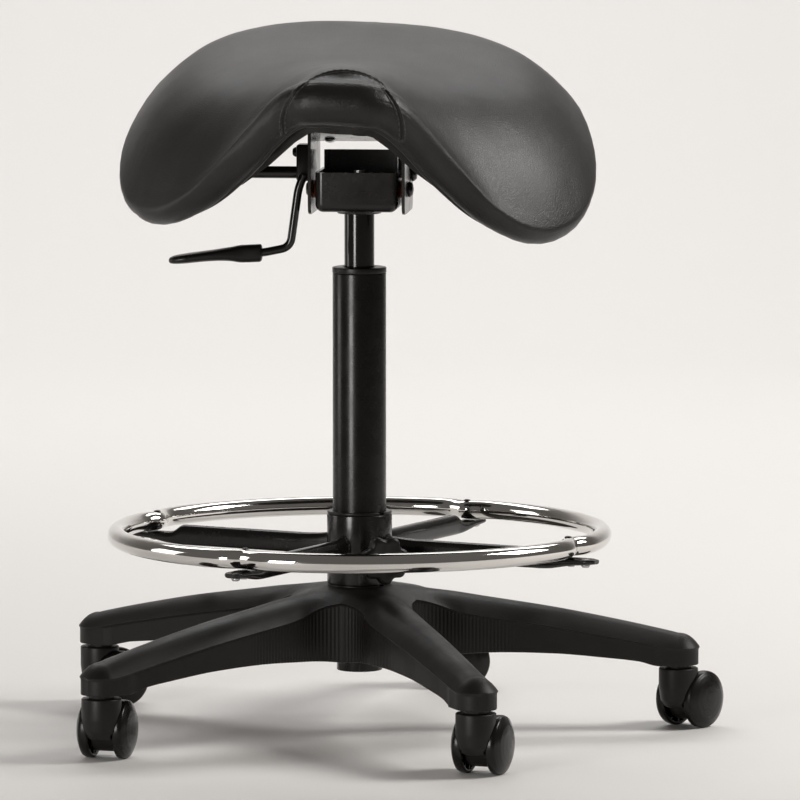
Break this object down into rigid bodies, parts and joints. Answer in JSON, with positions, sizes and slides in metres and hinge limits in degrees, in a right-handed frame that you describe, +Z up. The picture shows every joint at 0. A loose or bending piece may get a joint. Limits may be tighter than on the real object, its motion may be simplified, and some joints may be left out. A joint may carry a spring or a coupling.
{
  "type": "drafting chair",
  "caption": "Backless saddle drafting stool on a five-star caster base with gas column, adjustable chrome foot ring, seat tilt mechanism and hand levers.",
  "frame": {"origin": "middle of the bounding box on the floor, with the stool in its pictured pose", "axes": "+Z up; the seat's pommel faces -Y, five degrees towards -X; +X is to the right seen from the front"},
  "size_m": [0.6136, 0.6191, 0.6585],
  "materials": {
    "base_nylon": "moulded black nylon, fine texture",
    "caster_nylon": "moulded black nylon, satin",
    "wheel_nylon": "smooth black nylon, slight gloss",
    "steel_pin": "bright steel",
    "column_paint": "satin black powder coat",
    "gas_gloss": "gloss black",
    "black_plastic": "satin black",
    "chrome": "polished",
    "spoke_paint": "satin black",
    "bracket_paint": "semi-gloss black",
    "orange_nylon": "orange nylon",
    "rod_paint": "semi-gloss black",
    "grip_plastic": "satin black",
    "seat_vinyl": "black pebbled vinyl over foam",
    "shell_ply": "moulded plywood stained black"
  },
  "bodies": {
    "base": {"star_base": "base_nylon", "column_tube": "column_paint", "column_guide_cap": "black_plastic"},
    "swivel": {"piston_rod": "steel_pin", "retaining_clip": "steel_pin", "thrust_bearing": "steel_pin"},
    "lift": {"gas_cylinder": "gas_gloss", "valve_button": "steel_pin", "tilt_pan": "bracket_paint", "pivot_bush_left": "orange_nylon", "pivot_bush_right": "orange_nylon"},
    "seat": {"seat_plate": "bracket_paint", "pivot_bolt_left": "bracket_paint", "pivot_bolt_right": "bracket_paint", "lock_bolt": "bracket_paint", "lever_block": "black_plastic", "block_bolt": "bracket_paint", "seat_cushion": "seat_vinyl", "seat_shell": "shell_ply", "seat_mount_block": "shell_ply"},
    "height_lever": {"height_lever_rod": "rod_paint", "height_lever_paddle": "grip_plastic"},
    "tilt_lever": {"tilt_lever_rod": "rod_paint", "tilt_lever_grip": "grip_plastic"},
    "ring_slider": {"ring_sleeve": "black_plastic"},
    "ring_frame": {"ring_collar": "spoke_paint", "foot_ring": "chrome", "collar_nut": "spoke_paint", "ring_spoke_1": "spoke_paint", "ring_spoke_2": "spoke_paint", "ring_spoke_3": "spoke_paint", "ring_spoke_4": "spoke_paint"},
    "knob": {"knob_stud": "steel_pin", "clamp_knob": "black_plastic"},
    "caster_1": {"caster_1_housing": "caster_nylon", "caster_1_stem": "steel_pin", "caster_1_axle": "steel_pin"},
    "caster_1_wheel_left": {"caster_1_wheel_left": "wheel_nylon"},
    "caster_1_wheel_right": {"caster_1_wheel_right": "wheel_nylon"},
    "caster_2": {"caster_2_housing": "caster_nylon", "caster_2_stem": "steel_pin", "caster_2_axle": "steel_pin"},
    "caster_2_wheel_left": {"caster_2_wheel_left": "wheel_nylon"},
    "caster_2_wheel_right": {"caster_2_wheel_right": "wheel_nylon"},
    "caster_3": {"caster_3_housing": "caster_nylon", "caster_3_stem": "steel_pin", "caster_3_axle": "steel_pin"},
    "caster_3_wheel_left": {"caster_3_wheel_left": "wheel_nylon"},
    "caster_3_wheel_right": {"caster_3_wheel_right": "wheel_nylon"},
    "caster_4": {"caster_4_housing": "caster_nylon", "caster_4_stem": "steel_pin", "caster_4_axle": "steel_pin"},
    "caster_4_wheel_left": {"caster_4_wheel_left": "wheel_nylon"},
    "caster_4_wheel_right": {"caster_4_wheel_right": "wheel_nylon"},
    "caster_5": {"caster_5_housing": "caster_nylon", "caster_5_stem": "steel_pin", "caster_5_axle": "steel_pin"},
    "caster_5_wheel_left": {"caster_5_wheel_left": "wheel_nylon"},
    "caster_5_wheel_right": {"caster_5_wheel_right": "wheel_nylon"}
  },
  "joints": [
    {"name": "seat_swivel", "type": "hinge", "parent": "base", "child": "swivel", "pos_m": [-0.0361, -0.0091, 0.06], "axis": [0, 0, 1], "continuous": true},
    {"name": "seat_lift", "type": "slide", "parent": "swivel", "child": "lift", "axis": [0, 0, 1], "range_m": [0, 0.2]},
    {"name": "seat_tilt", "type": "hinge", "parent": "lift", "child": "seat", "pos_m": [-0.03575, -0.00511, 0.509], "axis": [0.9962, -0.0872, 0], "range_deg": [-3, 17]},
    {"name": "height_lever_lift", "type": "hinge", "parent": "seat", "child": "height_lever", "pos_m": [-0.08937, -0.0214, 0.5215], "axis": [0.0872, 0.9962, 0], "range_deg": [0, 6], "stiffness_Nm_per_rad": 0.8, "springref_deg": -6.88},
    {"name": "tilt_lever_turn", "type": "hinge", "parent": "seat", "child": "tilt_lever", "pos_m": [-0.0879, -0.00457, 0.5245], "axis": [0.9962, -0.0872, 0], "range_deg": [0, 90]},
    {"name": "ring_height", "type": "slide", "parent": "base", "child": "ring_slider", "axis": [0, 0, 1], "range_m": [0, 0.2]},
    {"name": "ring_turn", "type": "hinge", "parent": "ring_slider", "child": "ring_frame", "pos_m": [-0.0361, -0.0091, 0.17], "axis": [0, 0, 1], "continuous": true},
    {"name": "knob_turn", "type": "hinge", "parent": "ring_frame", "child": "knob", "pos_m": [-0.01558, -0.06548, 0.169], "axis": [0.342, -0.9397, 0], "range_deg": [-180, 180]},
    {"name": "caster_1_swivel", "type": "hinge", "parent": "base", "child": "caster_1", "pos_m": [0.26357, 0.00503, 0.06], "axis": [0, 0, 1], "continuous": true},
    {"name": "caster_1_wheel_left_roll", "type": "hinge", "parent": "caster_1", "child": "caster_1_wheel_left", "pos_m": [0.2749, 0.01902, 0.027], "axis": [-0.7771, 0.6293, 0], "continuous": true},
    {"name": "caster_1_wheel_right_roll", "type": "hinge", "parent": "caster_1", "child": "caster_1_wheel_right", "pos_m": [0.2749, 0.01902, 0.027], "axis": [-0.7771, 0.6293, 0], "continuous": true},
    {"name": "caster_2_swivel", "type": "hinge", "parent": "base", "child": "caster_2", "pos_m": [0.04306, 0.28027, 0.06], "axis": [0, 0, 1], "continuous": true},
    {"name": "caster_2_wheel_left_roll", "type": "hinge", "parent": "caster_2", "child": "caster_2_wheel_left", "pos_m": [0.06089, 0.28277, 0.027], "axis": [-0.1392, 0.9903, 0], "continuous": true},
    {"name": "caster_2_wheel_right_roll", "type": "hinge", "parent": "caster_2", "child": "caster_2_wheel_right", "pos_m": [0.06089, 0.28277, 0.027], "axis": [-0.1392, 0.9903, 0], "continuous": true},
    {"name": "caster_3_swivel", "type": "hinge", "parent": "base", "child": "caster_3", "pos_m": [-0.28684, 0.15561, 0.06], "axis": [0, 0, 1], "continuous": true},
    {"name": "caster_3_wheel_left_roll", "type": "hinge", "parent": "caster_3", "child": "caster_3_wheel_left", "pos_m": [-0.26912, 0.15873, 0.027], "axis": [-0.1736, 0.9848, 0], "continuous": true},
    {"name": "caster_3_wheel_right_roll", "type": "hinge", "parent": "caster_3", "child": "caster_3_wheel_right", "pos_m": [-0.26912, 0.15873, 0.027], "axis": [-0.1736, 0.9848, 0], "continuous": true},
    {"name": "caster_4_swivel", "type": "hinge", "parent": "base", "child": "caster_4", "pos_m": [-0.27023, -0.19667, 0.06], "axis": [0, 0, 1], "continuous": true},
    {"name": "caster_4_wheel_left_roll", "type": "hinge", "parent": "caster_4", "child": "caster_4_wheel_left", "pos_m": [-0.26572, -0.17925, 0.027], "axis": [-0.9681, 0.2504, 0], "continuous": true},
    {"name": "caster_4_wheel_right_roll", "type": "hinge", "parent": "caster_4", "child": "caster_4_wheel_right", "pos_m": [-0.26572, -0.17925, 0.027], "axis": [-0.9681, 0.2504, 0], "continuous": true},
    {"name": "caster_5_swivel", "type": "hinge", "parent": "base", "child": "caster_5", "pos_m": [0.06994, -0.28973, 0.06], "axis": [0, 0, 1], "continuous": true},
    {"name": "caster_5_wheel_left_roll", "type": "hinge", "parent": "caster_5", "child": "caster_5_wheel_left", "pos_m": [0.07645, -0.27295, 0.027], "axis": [-0.9323, 0.3616, 0], "continuous": true},
    {"name": "caster_5_wheel_right_roll", "type": "hinge", "parent": "caster_5", "child": "caster_5_wheel_right", "pos_m": [0.07645, -0.27295, 0.027], "axis": [-0.9323, 0.3616, 0], "continuous": true}
  ]
}
